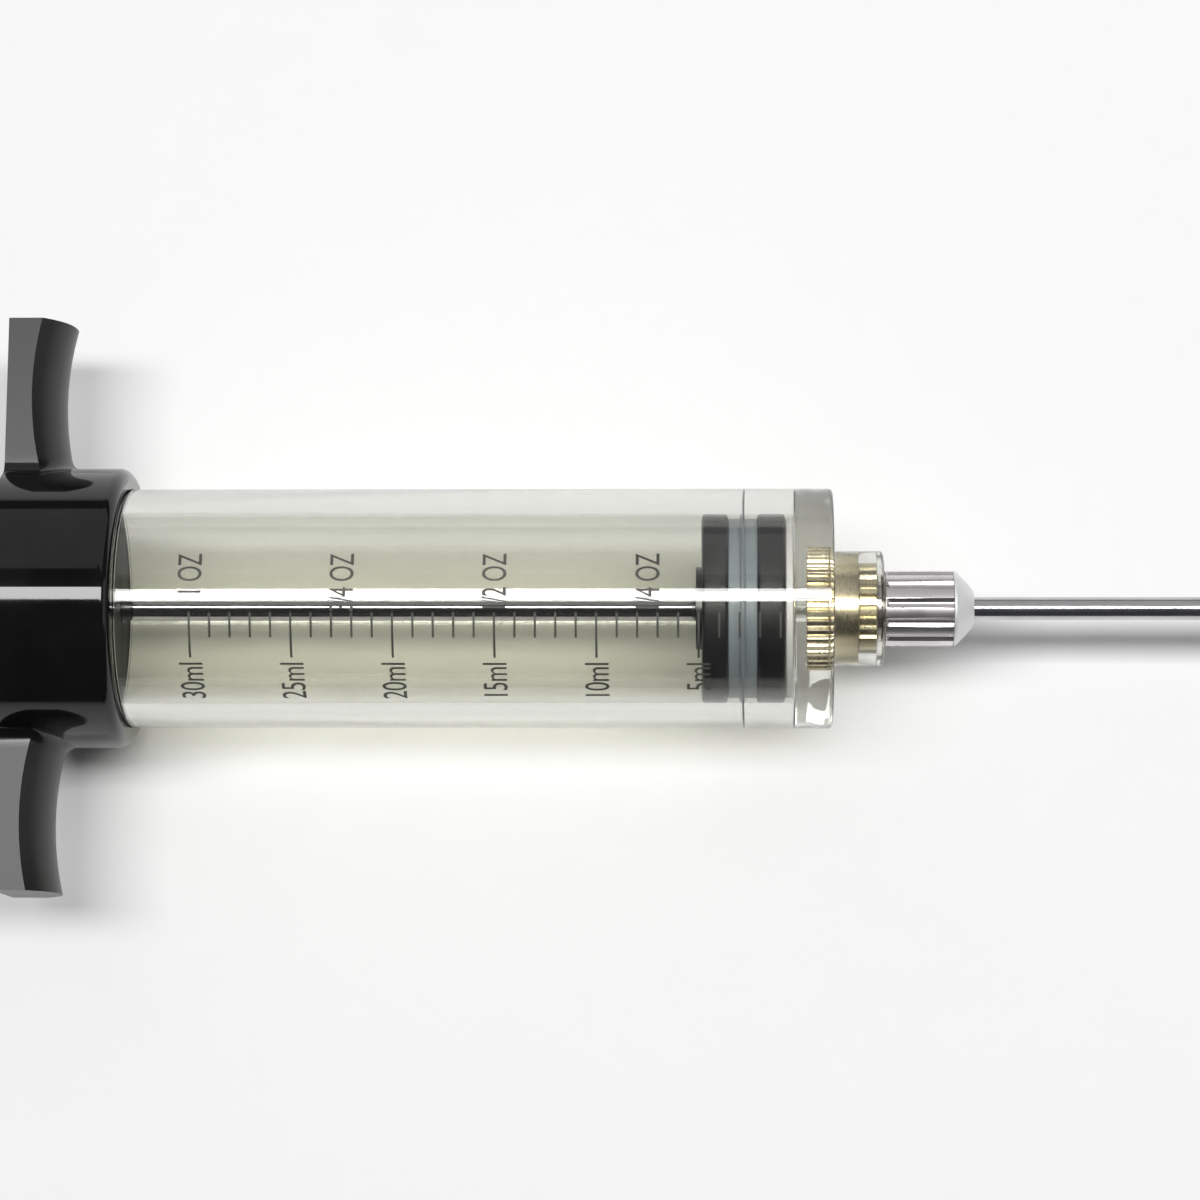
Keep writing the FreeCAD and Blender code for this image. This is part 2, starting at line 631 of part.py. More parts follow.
def draw_wing_section(sketch, crease, half_height):
    """Half of a wing's section is flat-sided up to the crease, and an arc closes it at the nose."""
    back = "(-Sizes.wing_waist)"
    corners = [(crease, half_height), (back, half_height), (back, f"(-{half_height})")]
    corners.append((crease, f"(-{half_height})"))
    points = [Vector(value(across), value(up), 0) for across, up in corners]
    for start, end in zip(points, points[1:]):
        sketch.addGeometry(Part.LineSegment(start, end))
    bulge_radius = f"(({half_height}^2 + Sizes.wing_nose^2) / (2 * Sizes.wing_nose))"
    radius = value(bulge_radius)
    centre = Vector(value("Sizes.wing_waist") - radius, 0, 0)
    swing = math.asin(value(half_height) / radius)
    nose = sketch.addGeometry(
        Part.ArcOfCircle(Part.Circle(centre, Vector(0, 0, 1), radius), -swing, swing)
    )
    joins = ((0, 2, 1, 1), (1, 2, 2, 1), (2, 2, nose, 1), (nose, 2, 0, 1))
    for first, first_end, second, second_end in joins:
        sketch.addConstraint(Sketcher.Constraint("Coincident", first, first_end, second, second_end))
    ends = ((0, 1), (0, 2), (1, 2), (2, 2))
    for (line, end), (across, up) in zip(ends, corners):
        for kind, expression in (("DistanceX", across), ("DistanceY", up)):
            number = sketch.addConstraint(Sketcher.Constraint(kind, -1, 1, line, end, value(expression)))
            sketch.setExpression(f"Constraints[{number}]", expression)
    number = sketch.addConstraint(Sketcher.Constraint("Radius", nose, radius))
    sketch.setExpression(f"Constraints[{number}]", bulge_radius)


def build_grip_collar():
    """Collar with two finger wings: a flat-backed section with a rounded nose, hollowed along Y."""
    body = new_body("grip_collar", COLLAR_REAR)
    turn(
        body,
        "blank",
        [("0", "0"), ("Sizes.collar_length", "0"), ("Sizes.collar_length", COLLAR_R), ("0", COLLAR_R)],
    )
    wing_middle = f"((Sizes.wing_span / 2 + {COLLAR_R}) / 2)"
    half_height = "(Sizes.wing_thickness / 2)"
    crease = "(Sizes.wing_waist - Sizes.wing_nose)"
    hinge_line = "(Sizes.wing_waist + Sizes.wing_curve_radius)"
    section = new_sketch(body, "wing_section", "XZ_Plane", f"-{wing_middle}")
    draw_wing_section(section, crease, half_height)
    hinge = section.addGeometry(
        Part.LineSegment(Vector(value(hinge_line), 0, 0), Vector(value(hinge_line), MARGIN, 0)), True
    )
    section.addConstraint(Sketcher.Constraint("PointOnObject", hinge, 1, -1))
    section.addConstraint(Sketcher.Constraint("Vertical", hinge))
    section.addConstraint(Sketcher.Constraint("DistanceY", -1, 1, hinge, 2, MARGIN))
    number = section.addConstraint(
        Sketcher.Constraint("DistanceX", -1, 1, hinge, 1, value(hinge_line))
    )
    section.setExpression(f"Constraints[{number}]", hinge_line)

    wing = body.newObject("PartDesign::Revolution", "grip_collar_wing")
    wing.Profile = section
    wing.ReferenceAxis = (section, ["Axis0"])
    wing.Midplane = True
    reach = f"(Sizes.wing_span / 2 - {COLLAR_R} + Sizes.wing_thickness)"
    wing.setExpression("Angle", f"{reach} / Sizes.wing_curve_radius * 180 / pi")
    pair = body.newObject("PartDesign::Mirrored", "grip_collar_wing_pair")
    pair.Originals = [wing]
    pair.MirrorPlane = (origin_feature(body, "XZ_Plane"), [""])
    body.Tip = pair

    outline = new_sketch(body, "trim_outline", "XY_Plane")
    tip = "(Sizes.wing_span / 2)"
    beyond = f"({tip} + {MARGIN * 3})"
    draw_polygon(
        outline,
        [
            (f"-{beyond}", f"-{beyond}"),
            (f"{beyond}", f"-{beyond}"),
            (f"{beyond}", f"-{tip}"),
            ("0", f"-{tip}"),
            ("0", tip),
            (f"{beyond}", tip),
            (f"{beyond}", beyond),
            (f"-{beyond}", beyond),
        ],
    )
    cut(body, outline, "trim")

    root = value(COLLAR_R)

    def at_wing_root(edge):
        """True where a wing meets the outside of the collar, away from the flat rear face."""
        middle = edge.valueAt((edge.FirstParameter + edge.LastParameter) / 2)
        near_rear = all(abs(vertex.X) < 1e-4 for vertex in edge.Vertexes)
        on_cylinder = abs(math.hypot(middle.y, middle.z) - root) < 1e-3
        round_edge = isinstance(edge.Curve, Part.Circle) and abs(edge.Curve.Axis.x) > 0.999
        seam = isinstance(edge.Curve, Part.Line) and abs(middle.y) < 1e-3
        return on_cylinder and not near_rear and not round_edge and not seam

    round_edges(body, "roots", "Sizes.wing_root_round", at_wing_root)
    round_edges(body, "front", "Sizes.collar_front_round", ring_at("Sizes.collar_length", COLLAR_R))
    turn(
        body,
        "bore",
        [
            ("Sizes.collar_end_wall", "0"),
            ("Sizes.collar_end_wall", COLLAR_BORE_R),
            (f"(Sizes.collar_length + {MARGIN})", COLLAR_BORE_R),
            (f"(Sizes.collar_length + {MARGIN})", "0"),
        ],
        "PartDesign::Groove",
    )
    turn(
        body,
        "bush_hole",
        [
            (f"(-{MARGIN})", "0"),
            (f"(-{MARGIN})", f"({BUSH_R} + Sizes.running_gap)"),
            (f"(Sizes.collar_end_wall + {MARGIN})", f"({BUSH_R} + Sizes.running_gap)"),
            (f"(Sizes.collar_end_wall + {MARGIN})", "0"),
        ],
        "PartDesign::Groove",
    )


def build_thumb_handle():
    """Oblong dished thumb pad on a flared stem, with a threaded insert for the rod."""
    rear = f"({HANDLE_FRONT} - {HANDLE_LENGTH})"
    body = new_body("thumb_handle", rear)
    turn(
        body,
        "stem",
        [
            ("0", "0"),
            ("0", "(Sizes.handle_root_diameter / 2)"),
            ("Sizes.handle_thickness", "(Sizes.handle_root_diameter / 2)"),
            (HANDLE_LENGTH, "(Sizes.handle_neck_diameter / 2)"),
            (HANDLE_LENGTH, "0"),
        ],
    )
    outline = new_sketch(body, "pad_outline", "YZ_Plane")
    end_radius = "(Sizes.handle_width / 2)"
    centre = f"(Sizes.handle_span / 2 - {end_radius})"
    left, right = Vector(-value(centre), 0, 0), Vector(value(centre), 0, 0)
    radius = value(end_radius)
    up = Vector(0, radius, 0)
    top = outline.addGeometry(Part.LineSegment(right + up, left + up))
    bottom = outline.addGeometry(Part.LineSegment(left - up, right - up))
    normal = Vector(0, 0, 1)
    left_end = outline.addGeometry(
        Part.ArcOfCircle(Part.Circle(left, normal, radius), math.pi / 2, math.pi * 3 / 2)
    )
    right_end = outline.addGeometry(
        Part.ArcOfCircle(Part.Circle(right, normal, radius), -math.pi / 2, math.pi / 2)
    )
    for first, first_end, second, second_end in (
        (top, 2, left_end, 1),
        (left_end, 2, bottom, 1),
        (bottom, 2, right_end, 1),
        (right_end, 2, top, 1),
    ):
        outline.addConstraint(Sketcher.Constraint("Tangent", first, first_end, second, second_end))
    for arc, sign in ((left_end, "-"), (right_end, "")):
        outline.addConstraint(Sketcher.Constraint("PointOnObject", arc, 3, -1))
        number = outline.addConstraint(
            Sketcher.Constraint("DistanceX", -1, 1, arc, 3, value(f"{sign}{centre}"))
        )
        outline.setExpression(f"Constraints[{number}]", f"{sign}{centre}")
    number = outline.addConstraint(Sketcher.Constraint("Radius", right_end, radius))
    outline.setExpression(f"Constraints[{number}]", end_radius)
    pad = body.newObject("PartDesign::Pad", "thumb_handle_pad")
    pad.Profile = outline
    pad.setExpression("Length", "Sizes.handle_thickness")

    dish = new_sketch(body, "dish_outline", "XY_Plane")
    draw_circle(
        dish,
        "(Sizes.handle_dish_depth - Sizes.handle_dish_radius)",
        "0",
        "Sizes.handle_dish_radius",
    )
    cut(body, dish, "dish")

    thickness, half_width = value("Sizes.handle_thickness"), value("Sizes.handle_width / 2")

    def on_pad_rim(edge):
        """True for the edges round the outside of the pad's two faces."""
        middle = edge.valueAt((edge.FirstParameter + edge.LastParameter) / 2)
        beyond_stem = max(abs(middle.z), abs(middle.y)) > half_width - 1e-3
        along_rim = abs(edge.tangentAt(edge.FirstParameter).x) < 0.9
        return beyond_stem and along_rim and -1e-3 < middle.x < thickness + 1e-3

    round_edges(body, "rim", "Sizes.handle_edge", on_pad_rim)
    hole_rear = f"({HANDLE_LENGTH} - Sizes.insert_length)"
    turn(
        body,
        "insert_hole",
        [
            (hole_rear, "0"),
            (hole_rear, HANDLE_INSERT_R),
            (f"({HANDLE_LENGTH} + {MARGIN})", HANDLE_INSERT_R),
            (f"({HANDLE_LENGTH} + {MARGIN})", "0"),
        ],
        "PartDesign::Groove",
    )
    ring("handle_insert", ROD_REAR, "Sizes.insert_length", ROD_R, HANDLE_INSERT_R)


def check_document():
    """Stops if any object failed to compute or any sub-part has no valid shape."""
    document.recompute()
    for item in document.Objects:
        if any(word in str(state) for state in item.State for word in ("Invalid", "Error")):
            raise RuntimeError(f"{item.Name} is {item.State}")
    for item in sub_parts:
        if item.Shape.isNull() or not item.Shape.isValid():
            raise RuntimeError(f"{item.Label} has no valid shape")
        if len(item.Shape.Solids) != 1:
            raise RuntimeError(f"{item.Label} is {len(item.Shape.Solids)} solids")


build_barrel()
build_luer_insert()
build_needle()
build_piston()
build_rod()
build_rear_closure()
build_grip_collar()
build_thumb_handle()
check_document()

os.makedirs("parts", exist_ok=True)
for item in sub_parts:
    item.Shape.exportStep(f"parts/{item.Label}.step")
    box = item.Shape.optimalBoundingBox()
    spans = ", ".join(
        f"{low:.2f} to {high:.2f}"
        for low, high in ((box.XMin, box.XMax), (box.YMin, box.YMax), (box.ZMin, box.ZMax))
    )
    print(f"{item.Label}: {item.Shape.Volume:.1f} mm3, {spans}")
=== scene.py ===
"""Meat injector on a pale floor: clear scaled barrel, sealed piston, grip collar and luer needle."""
import logging
import math
from dataclasses import dataclass
from enum import Enum
from typing import Any, Callable, Mapping, Sequence

import bmesh
import bpy
import numpy as np
from mathutils import Matrix, Vector


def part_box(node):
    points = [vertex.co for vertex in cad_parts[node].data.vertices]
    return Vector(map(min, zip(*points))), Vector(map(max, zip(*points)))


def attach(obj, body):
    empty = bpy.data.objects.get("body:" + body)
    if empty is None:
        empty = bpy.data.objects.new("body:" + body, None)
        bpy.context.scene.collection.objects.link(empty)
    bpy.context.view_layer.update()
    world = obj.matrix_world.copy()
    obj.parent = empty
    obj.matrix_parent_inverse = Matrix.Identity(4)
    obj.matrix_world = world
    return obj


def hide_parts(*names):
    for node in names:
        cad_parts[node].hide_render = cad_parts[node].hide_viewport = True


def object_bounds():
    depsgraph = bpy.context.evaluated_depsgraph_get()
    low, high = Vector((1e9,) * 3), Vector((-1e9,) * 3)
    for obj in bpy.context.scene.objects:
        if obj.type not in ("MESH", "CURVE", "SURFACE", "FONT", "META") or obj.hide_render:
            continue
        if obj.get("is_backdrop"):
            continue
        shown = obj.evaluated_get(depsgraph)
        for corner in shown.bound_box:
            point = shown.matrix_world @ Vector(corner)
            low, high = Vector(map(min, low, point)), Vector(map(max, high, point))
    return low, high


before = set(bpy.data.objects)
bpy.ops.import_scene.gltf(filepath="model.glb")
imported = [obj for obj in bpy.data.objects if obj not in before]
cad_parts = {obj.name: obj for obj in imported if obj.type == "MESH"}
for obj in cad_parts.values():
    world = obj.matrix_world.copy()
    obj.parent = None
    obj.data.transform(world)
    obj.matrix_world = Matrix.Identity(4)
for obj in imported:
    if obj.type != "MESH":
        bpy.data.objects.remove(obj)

LOG = logging.getLogger("meat_injector")
MM = 0.001
FULL_TURN = 2 * math.pi
SHARP_ANGLE = math.radians(32)
Array = np.ndarray
Corner = tuple[float, float, float]
MERGE_DISTANCE = 2e-8
MOST_CUT = 0.49  # share of a side that a rounded corner may take


# ---------------------------------------------------------------- shader expressions


@dataclass(frozen=True)
class Value:
    """A socket in a material's node tree. Arithmetic on it adds Math nodes."""

    graph: "Graph"
    socket: bpy.types.NodeSocket

    def math(self, operation: str, *others: Any) -> "Value":
        """Adds one Math node.

        Args:
            operation: the Math node's operation.
            others: its further operands, as numbers or values.

        Returns:
            The node's result.
        """
        inputs = {index: item for index, item in enumerate((self, *others))}
        return self.graph.node("ShaderNodeMath", {"operation": operation}, inputs)[0]

    def __add__(self, other: Any) -> "Value":
        """Sum."""
        return self.math("ADD", other)

    __radd__ = __add__

    def __mul__(self, other: Any) -> "Value":
        """Product."""
        return self.math("MULTIPLY", other)

    __rmul__ = __mul__

    def __rsub__(self, other: Any) -> "Value":
        """Difference with the socket on the right."""
        return self.graph.node("ShaderNodeMath", {"operation": "SUBTRACT"}, {0: other, 1: self})[0]

    def __abs__(self) -> "Value":
        """Size without sign."""
        return self.math("ABSOLUTE")

    def between(self, low: float, high: float) -> "Value":
        """Smooth step from 0 at low to 1 at high."""
        settings = {"interpolation_type": "SMOOTHSTEP"}
        inputs = {"Value": self, "From Min": low, "From Max": high}
        return self.graph.node("ShaderNodeMapRange", settings, inputs)[0]


class Outputs:
    """The output sockets of one node, wrapped as values."""

    def __init__(self, graph: "Graph", made: bpy.types.Node) -> None:
        """Keeps the node and its graph."""
        self.graph, self.made = graph, made

    def __getitem__(self, key: int | str) -> Value:
        """One output by index or name."""
        return Value(self.graph, self.made.outputs[key])


class Graph:
    """A material's node tree, with its Principled shader and output already there."""

    def __init__(self, name: str) -> None:
        """Makes the material.

        Args:
            name: the material's name.
        """
        self.material = bpy.data.materials.new(name)
        self.material.use_nodes = True
        self.tree = self.material.node_tree
        self.shader = self.tree.nodes["Principled BSDF"]
        self.output = self.tree.nodes["Material Output"]

    def node(
        self,
        kind: str,
        settings: Mapping[str, Any] | None = None,
        inputs: Mapping[int | str, Any] | None = None,
    ) -> Outputs:
        """Adds any node.

        Args:
            kind: the node's type.
            settings: its properties, with a ramp's stops as a list of (place, colour).
            inputs: numbers, colours or values for its sockets.

        Returns:
            Its outputs.
        """
        made = self.tree.nodes.new(kind)
        for key, setting in (settings or {}).items():
            if key == "stops":
                self.set_stops(made.color_ramp, setting)
            else:
                setattr(made, key, setting)
        for key, item in (inputs or {}).items():
            self.feed(made.inputs[key], item)
        return Outputs(self, made)

    @staticmethod
    def set_stops(ramp: bpy.types.ColorRamp, stops: Sequence[tuple[float, Sequence[float]]]) -> None:
        """Gives a colour ramp its stops."""
        while len(ramp.elements) < len(stops):
            ramp.elements.new(1.0)
        for element, (place, colour) in zip(ramp.elements, stops):
            element.position = place
            element.color = (*colour, 1.0)

    def feed(self, socket: bpy.types.NodeSocket, item: Any) -> None:
        """Links a value to a socket or sets a constant on it."""
        if isinstance(item, Value):
            self.tree.links.new(item.socket, socket)
        else:
            socket.default_value = item

    def constants(self, **numbers: Any) -> None:
        """Sets constants on the Principled shader, spaces in names written as underscores."""
        for key, number in numbers.items():
            self.shader.inputs[key.replace("_", " ")].default_value = number

    def place(self) -> Value:
        """The piece's own coordinates in metres."""
        return self.node("ShaderNodeTexCoord")["Object"]

    def axes(self) -> tuple[Value, Value, Value]:
        """The piece's own x, y and z in metres."""
        parts = self.node("ShaderNodeSeparateXYZ", inputs={0: self.place()})
        return parts[0], parts[1], parts[2]

    def noise(self, scale: float, stretch: Sequence[float], detail: float = 3.0) -> Value:
        """Fractal noise from 0 to 1, about 1/scale metres across, finer along axes stretched over 1."""
        mapped = self.node("ShaderNodeMapping", inputs={"Vector": self.place(), "Scale": tuple(stretch)})
        inputs = {"Vector": mapped[0], "Scale": scale, "Detail": detail, "Roughness": 0.55}
        return self.node("ShaderNodeTexNoise", inputs=inputs)[0]

    def blend(self, factor: Value, first: Sequence[float], second: Sequence[float]) -> Value:
        """A colour from first at 0 to second at 1."""
        inputs = {0: factor, 6: (*first, 1.0), 7: (*second, 1.0)}
        return self.node("ShaderNodeMix", {"data_type": "RGBA"}, inputs)[2]

    def bump(self, height: Value, strength: float, depth: float) -> None:
        """Feeds the shader's normal from a height from 0 to 1 that stands depth metres tall."""
        inputs = {"Strength": strength, "Distance": depth, "Height": height}
        self.feed(self.shader.inputs["Normal"], self.node("ShaderNodeBump", inputs=inputs)[0])


# ---------------------------------------------------------------- finishes


class Texture(Enum):
    """How a surface was left by making and use, as (noise scale per metre, stretch along x, y, z)."""

    PATCHY = (130.0, (1.0, 1.0, 1.0))
    FLOWED = (220.0, (0.35, 1.0, 1.0))
    SCRATCHED = (5200.0, (0.04, 1.0, 1.0))
    MOULDED = (900.0, (1.0, 1.0, 1.0))
    DRAWN = (1600.0, (0.03, 1.0, 1.0))
    TURNED = (1400.0, (6.0, 0.25, 0.25))
    RUBBED = (1100.0, (1.0, 1.0, 1.0))


@dataclass(frozen=True)
class Finish:
    """A procedural surface: two mixed colours, patchy roughness and a fine bump."""

    name: str
    colour: tuple[float, float, float]
    worn: tuple[float, float, float]
    roughness: tuple[float, float]
    texture: Texture
    bump_depth: float = 4e-6
    bump_strength: float = 0.5
    metallic: float = 0.0
    subsurface: float = 0.0
    subsurface_scale: float = 0.002
    ior: float = 1.5

    def patches(self, graph: Graph) -> Value:
        """Slow variation over the piece, from 0 to 1."""
        return graph.noise(*Texture.PATCHY.value, detail=4.0).between(0.32, 0.68)

    def rough(self, graph: Graph, grain: Value) -> Value:
        """Roughness between the finish's two limits."""
        low, high = self.roughness
        return low + (high - low) * (self.patches(graph) * 0.6 + grain * 0.4)

    def build(self) -> bpy.types.Material:
        """Makes the material."""
        graph = Graph(self.name)
        scale, stretch = self.texture.value
        grain = graph.noise(scale, stretch)
        graph.constants(Metallic=self.metallic, IOR=self.ior, Subsurface_Weight=self.subsurface)
        graph.constants(Subsurface_Radius=(1.0, 1.0, 1.0), Subsurface_Scale=self.subsurface_scale)
        wear = self.patches(graph) * 0.7 + grain * 0.3
        graph.feed(graph.shader.inputs["Base Color"], graph.blend(wear, self.colour, self.worn))
        graph.feed(graph.shader.inputs["Roughness"], self.rough(graph, grain))
        graph.bump(grain, self.bump_strength, self.bump_depth)
        return graph.material


@dataclass(frozen=True)
class GripFinish(Finish):
    """Black moulding that is glossy round the collar and satin on the wings beyond it."""

    collar_radius: float = 0.017
    fade: tuple[float, float] = (-0.0015, 0.001)
    satin: float = 0.36

    def rough(self, graph: Graph, grain: Value) -> Value:
        """Gloss inside the collar's radius, satin beyond it."""
        _, across, _ = graph.axes()
        outside = abs(across).between(*(self.collar_radius + offset for offset in self.fade))
        gloss = super().rough(graph, grain)
        return gloss + outside * (self.satin - gloss)


@dataclass(frozen=True)
class ClearFinish:
    """Clear moulded plastic with faint flow marks and handling scratches. Lamps shine through it."""

    name: str
    tint: tuple[float, float, float]
    haze: tuple[float, float, float]
    ior: float
    roughness: tuple[float, float] = (0.012, 0.042)
    bump: tuple[float, float] = (0.12, 8e-6)

    def build(self) -> bpy.types.Material:
        """Makes the material."""
        graph = Graph(self.name)
        graph.constants(IOR=self.ior, Transmission_Weight=1.0)
        flow = graph.noise(*Texture.FLOWED.value)
        scratches = graph.noise(*Texture.SCRATCHED.value, detail=2.0).between(0.6, 0.8)
        colour = graph.blend(flow.between(0.3, 0.75), self.tint, self.haze)
        graph.feed(graph.shader.inputs["Base Color"], colour)
        smooth, scratched = self.roughness
        graph.feed(graph.shader.inputs["Roughness"], smooth + scratches * (scratched - smooth))
        graph.bump(flow, *self.bump)
        lamp = graph.node("ShaderNodeLightPath")["Is Shadow Ray"]
        through = graph.node("ShaderNodeBsdfTransparent", inputs={"Color": (*self.tint, 1.0)})
        mixed = graph.node("ShaderNodeMixShader", inputs={0: lamp, 2: through[0]})
        graph.tree.links.new(graph.shader.outputs[0], mixed.made.inputs[1])
        graph.tree.links.new(mixed[0].socket, graph.output.inputs["Surface"])
        return graph.material


CLEAR = ClearFinish("clear_polycarbonate", (0.79, 0.79, 0.75), (0.765, 0.767, 0.725), 1.56)
GLOSS_BLACK = Finish(
    "glossy_black_plastic", (0.010, 0.010, 0.011), (0.018, 0.018, 0.019), (0.14, 0.24), Texture.MOULDED
)
GRIP_BLACK = GripFinish(
    "grip_black_plastic", (0.003, 0.003, 0.0035), (0.006, 0.006, 0.0065), (0.05, 0.09), Texture.MOULDED, 2e-6
)
PLUG_BLACK = Finish(
    "plug_black_plastic", (0.008, 0.008, 0.009), (0.014, 0.014, 0.015), (0.45, 0.6), Texture.MOULDED, ior=1.25
)
RUBBER = Finish(
    "nitrile_rubber", (0.005, 0.0055, 0.007), (0.010, 0.0105, 0.012), (0.34, 0.48), Texture.RUBBED, 8e-6
)
FROSTED = Finish(
    "frosted_plastic", (0.17, 0.20, 0.235), (0.22, 0.25, 0.285), (0.3, 0.42), Texture.MOULDED, subsurface=0.1
)
PALE_PLASTIC = Finish(
    "pale_plastic", (0.60, 0.59, 0.63), (0.68, 0.67, 0.70), (0.3, 0.42), Texture.MOULDED, subsurface=0.2
)
# Painted shade: the contact ring is dark grey to stand for the dark refraction line where the spacer's ridge
# meets the bore.
CONTACT_LINE_SHADE = Finish("ridge_contact_painted_shade", (0.13, 0.14, 0.16), (0.18, 0.19, 0.21), (0.3, 0.45), Texture.MOULDED)
BRASS = Finish(
    "turned_brass", (0.86, 0.78, 0.58), (0.74, 0.65, 0.45), (0.2, 0.34), Texture.TURNED, 6e-6, metallic=1.0
)
ALLOY = Finish(
    "satin_alloy", (0.80, 0.77, 0.79), (0.66, 0.62, 0.64), (0.2, 0.34), Texture.DRAWN, 5e-6, metallic=1.0
)
FROSTED_ALLOY = Finish(
    "blasted_alloy", (0.86, 0.86, 0.87), (0.78, 0.78, 0.79), (0.45, 0.6), Texture.MOULDED, 8e-6, metallic=0.6
)
STEEL = Finish(
    "drawn_steel", (0.62, 0.62, 0.63), (0.50, 0.50, 0.51), (0.14, 0.26), Texture.DRAWN, 5e-6, metallic=1.0
)
CHROME = Finish(
    "polished_rod", (0.66, 0.66, 0.67), (0.58, 0.58, 0.59), (0.05, 0.12), Texture.DRAWN, 2e-6, metallic=1.0
)
NICKEL = Finish(
    "nickel_plate", (0.62, 0.60, 0.56), (0.50, 0.48, 0.45), (0.14, 0.28), Texture.TURNED, 4e-6, metallic=1.0
)
DARK_STEEL = Finish(
    "dark_steel", (0.10, 0.10, 0.105), (0.16, 0.16, 0.16), (0.25, 0.4), Texture.TURNED, 4e-6, metallic=1.0
)
INK = Finish("scale_ink", (0.030, 0.030, 0.026), (0.075, 0.075, 0.065), (0.45, 0.6), Texture.RUBBED)
FLOOR = Finish("pale_floor", (0.89, 0.89, 0.885), (0.90, 0.90, 0.895), (0.75, 0.85), Texture.MOULDED, 2e-6)


# ---------------------------------------------------------------- surfaces


def rounded(corners: Sequence[Corner], steps: int = 5) -> Array:
    """The outline of a polygon whose corners are rounded.

    Each corner is cut back by its radius over the tangent of half its angle, and the points between
    follow the circle that touches both sides.

    Args:
        corners: (x, r, rounding) in millimetres, anticlockwise or clockwise.
        steps: segments in each round.

    Returns:
        Points as rows of (x, r) in metres.
    """
    points = np.array([corner[:2] for corner in corners], float)
    outline = []
    for index, (_, _, radius) in enumerate(corners):
        here, back, ahead = points[index], points[index - 1], points[(index + 1) % len(points)]
        if radius <= 0:
            outline.append(here[None])
            continue
        to_back, to_ahead = back - here, ahead - here
        length_back, length_ahead = np.linalg.norm(to_back), np.linalg.norm(to_ahead)
        to_back, to_ahead = to_back / length_back, to_ahead / length_ahead
        half = math.acos(float(np.clip(to_back @ to_ahead, -1, 1))) / 2
        cut = min(radius / math.tan(half), MOST_CUT * length_back, MOST_CUT * length_ahead)
        centre = here + (to_back + to_ahead) / np.linalg.norm(to_back + to_ahead) * cut / math.cos(half)
        start, end = here + to_back * cut - centre, here + to_ahead * cut - centre
        share = np.linspace(0, 1, steps + 1)[:, None]
        swing = math.pi - 2 * half
        arc = (np.sin((1 - share) * swing) * start + np.sin(share * swing) * end) / math.sin(swing)
        outline.append(centre + arc)
    return np.concatenate(outline) * MM


def close_mesh(mesh: bpy.types.Mesh) -> None:
    """Merges a mesh's meeting points, drops what bears no face, and turns its normals outward."""
    work = bmesh.new()
    work.from_mesh(mesh)
    bmesh.ops.remove_doubles(work, verts=work.verts, dist=MERGE_DISTANCE)
    bmesh.ops.dissolve_degenerate(work, edges=work.edges, dist=MERGE_DISTANCE / 2)
    bmesh.ops.delete(work, geom=[edge for edge in work.edges if not edge.link_faces], context="EDGES")
    bmesh.ops.delete(work, geom=[point for point in work.verts if not point.link_faces], context="VERTS")
    bmesh.ops.recalc_face_normals(work, faces=work.faces)
    work.to_mesh(mesh)
    work.free()


def finish_mesh(
    name: str, points: Array, faces: Array, material: bpy.types.Material
) -> bpy.types.Object:
    """Makes an object from points and faces, merged, with outward normals and smooth rounds.

    Args:
        name: the piece's name.
        points: rows of x, y, z in metres.
        faces: rows of point numbers.
        material: its finish.

    Returns:
        The object, at the origin.
    """
    mesh = bpy.data.meshes.new(name)
    mesh.from_pydata(points.tolist(), [], faces.tolist())
    close_mesh(mesh)
    mesh.shade_smooth()
    mesh.set_sharp_from_angle(angle=SHARP_ANGLE)
    mesh.materials.append(material)
    made = bpy.data.objects.new(name, mesh)
    bpy.context.scene.collection.objects.link(made)
    return made


def grid_faces(rows: int, columns: int, wrap_rows: bool, wrap_columns: bool) -> Array:
    """Four-cornered faces of a grid of points.

    Args:
        rows: points along the first parameter.
        columns: points along the second.
        wrap_rows: joins the last row to the first.
        wrap_columns: joins the last column to the first.

    Returns:
        Rows of four point numbers.
    """
    row = np.arange(rows if wrap_rows else rows - 1)[:, None]
    column = np.arange(columns if wrap_columns else columns - 1)[None, :]
    row_next, column_next = (row + 1) % rows, (column + 1) % columns
    corners = (row * columns + column, row * columns + column_next)
    corners += (row_next * columns + column_next, row_next * columns + column)
    return np.stack(np.broadcast_arrays(*corners), axis=-1).reshape(-1, 4)


def turned(
    name: str,
    outline: Array,
    material: bpy.types.Material,
    around: int = 96,
    cutter: Callable[[Array, Array, Array], Array] | None = None,
) -> bpy.types.Object:
    """A closed outline carried round the X axis: (x, r cos a, r sin a) for each outline point and angle a.

    Args:
        name: the piece's name.
        outline: closed rows of (x, r) in metres.
        material: its finish.
        around: steps round the axis.
        cutter: changes the radius from (x, r, a), for flutes and knurls.

    Returns:
        The object.
    """
    angle = np.linspace(0, FULL_TURN, around, endpoint=False)[None, :]
    along, radius = outline[:, :1] + 0 * angle, outline[:, 1:] + 0 * angle
    angle = angle + 0 * along
    if cutter:
        radius = cutter(along, radius, angle)
    points = np.stack([along, radius * np.cos(angle), radius * np.sin(angle)], axis=-1).reshape(-1, 3)
    return finish_mesh(name, points, grid_faces(len(outline), around, True, True), material)


def ring_outline(rear: float, front: float, inner: float, outer: float, rounding: float) -> Array:
    """The rounded rectangle section of a ring, from sizes in millimetres."""
    corners = ((rear, inner), (front, inner), (front, outer), (rear, outer))
    return rounded([(x, r, rounding) for x, r in corners])


def span(node: str) -> tuple[float, float]:
    """Where a CAD node starts and ends along X, in millimetres."""
    low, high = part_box(node)
    return low[0] / MM, high[0] / MM


def radius_of(node: str) -> float:
    """A CAD node's outer radius in millimetres, from its height."""
    low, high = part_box(node)
    return (high[2] - low[2]) / 2 / MM


